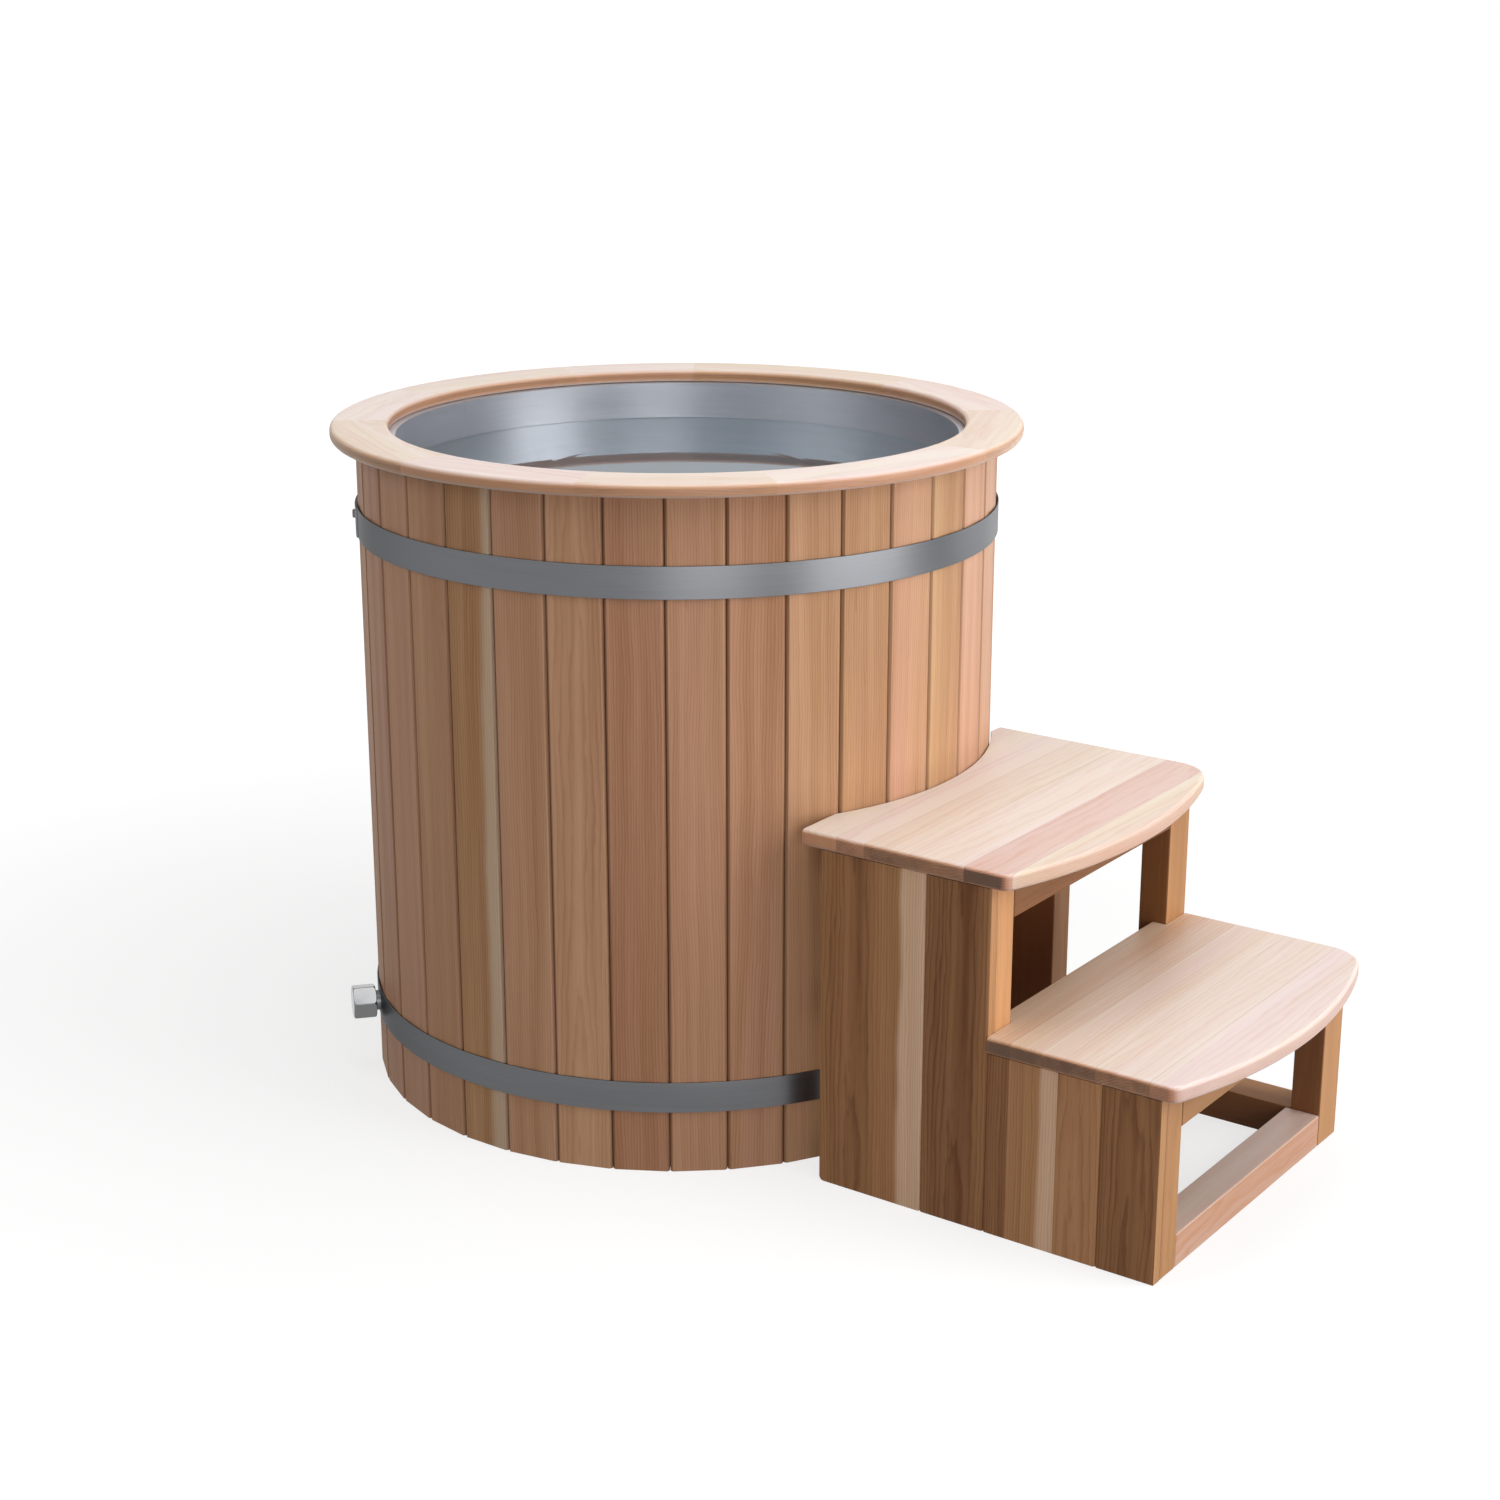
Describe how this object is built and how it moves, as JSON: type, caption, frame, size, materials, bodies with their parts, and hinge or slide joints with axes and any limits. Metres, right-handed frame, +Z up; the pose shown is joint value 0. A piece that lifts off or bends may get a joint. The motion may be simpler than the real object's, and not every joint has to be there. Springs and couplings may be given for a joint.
{
  "type": "cold plunge tub",
  "caption": "Round stave-built plunge tub with a steel liner, flat wooden rim, steel hoops and a capped drain, and a free-standing wooden step whose treads follow its curve.",
  "frame": {"origin": "on the floor, on the tub's axis", "axes": "+Z up along the tub's axis, +X from the axis towards the steps"},
  "size_m": [1.6585, 1.08, 1.056],
  "materials": {
    "stave_wood": "oiled softwood, tone differs from stave to stave",
    "rim_wood": "pale sanded softwood, glued segments",
    "tread_wood": "pale sanded softwood, glued strips",
    "frame_wood": "oiled softwood",
    "board_wood": "oiled softwood boards",
    "base_wood": "planed softwood",
    "hoop_steel": "brushed flat band",
    "liner_steel": "brushed sheet",
    "bolt_steel": "plain machined steel",
    "chrome": "bright chrome plate"
  },
  "bodies": {
    "tub": {"stave_01": "stave_wood", "stave_02": "stave_wood", "stave_03": "stave_wood", "stave_04": "stave_wood", "stave_05": "stave_wood", "stave_06": "stave_wood", "stave_07": "stave_wood", "stave_08": "stave_wood", "stave_09": "stave_wood", "stave_10": "stave_wood", "stave_11": "stave_wood", "stave_12": "stave_wood", "stave_13": "stave_wood", "stave_14": "stave_wood", "stave_15": "stave_wood", "stave_16": "stave_wood", "stave_17": "stave_wood", "stave_18": "stave_wood", "stave_19": "stave_wood", "stave_20": "stave_wood", "stave_21": "stave_wood", "stave_22": "stave_wood", "stave_23": "stave_wood", "stave_24": "stave_wood", "stave_25": "stave_wood", "stave_26": "stave_wood", "stave_27": "stave_wood", "stave_28": "stave_wood", "stave_29": "stave_wood", "stave_30": "stave_wood", "stave_31": "stave_wood", "stave_32": "stave_wood", "stave_33": "stave_wood", "stave_34": "stave_wood", "stave_35": "stave_wood", "stave_36": "stave_wood", "rim_ring": "rim_wood", "steel_liner": "liner_steel", "base_panel": "base_wood", "upper_hoop": "hoop_steel", "lower_hoop": "hoop_steel", "upper_hoop_bolt": "bolt_steel", "lower_hoop_bolt": "bolt_steel", "drain_fitting": "bolt_steel", "drain_lock_nut": "chrome"},
    "drain_cap": {"drain_cap": "chrome"},
    "steps": {"upper_tread": "tread_wood", "lower_tread": "tread_wood", "side_panel": "board_wood", "near_back_post": "frame_wood", "near_mid_post": "frame_wood", "near_front_post": "frame_wood", "far_back_post": "frame_wood", "far_mid_post": "frame_wood", "far_front_post": "frame_wood", "upper_apron": "frame_wood", "lower_apron": "frame_wood", "front_bottom_rail": "frame_wood", "far_bottom_rail": "frame_wood", "tread_ledger": "frame_wood"}
  },
  "joints": [
    {"name": "steps_slide", "type": "slide", "parent": "tub", "child": "steps", "axis": [1, 0, 0], "range_m": [0, 0.4]},
    {"name": "drain_cap_turn", "type": "hinge", "parent": "tub", "child": "drain_cap", "pos_m": [-0.3278, -0.3907, 0.12186], "axis": [-0.6428, -0.766, 0], "continuous": true}
  ]
}
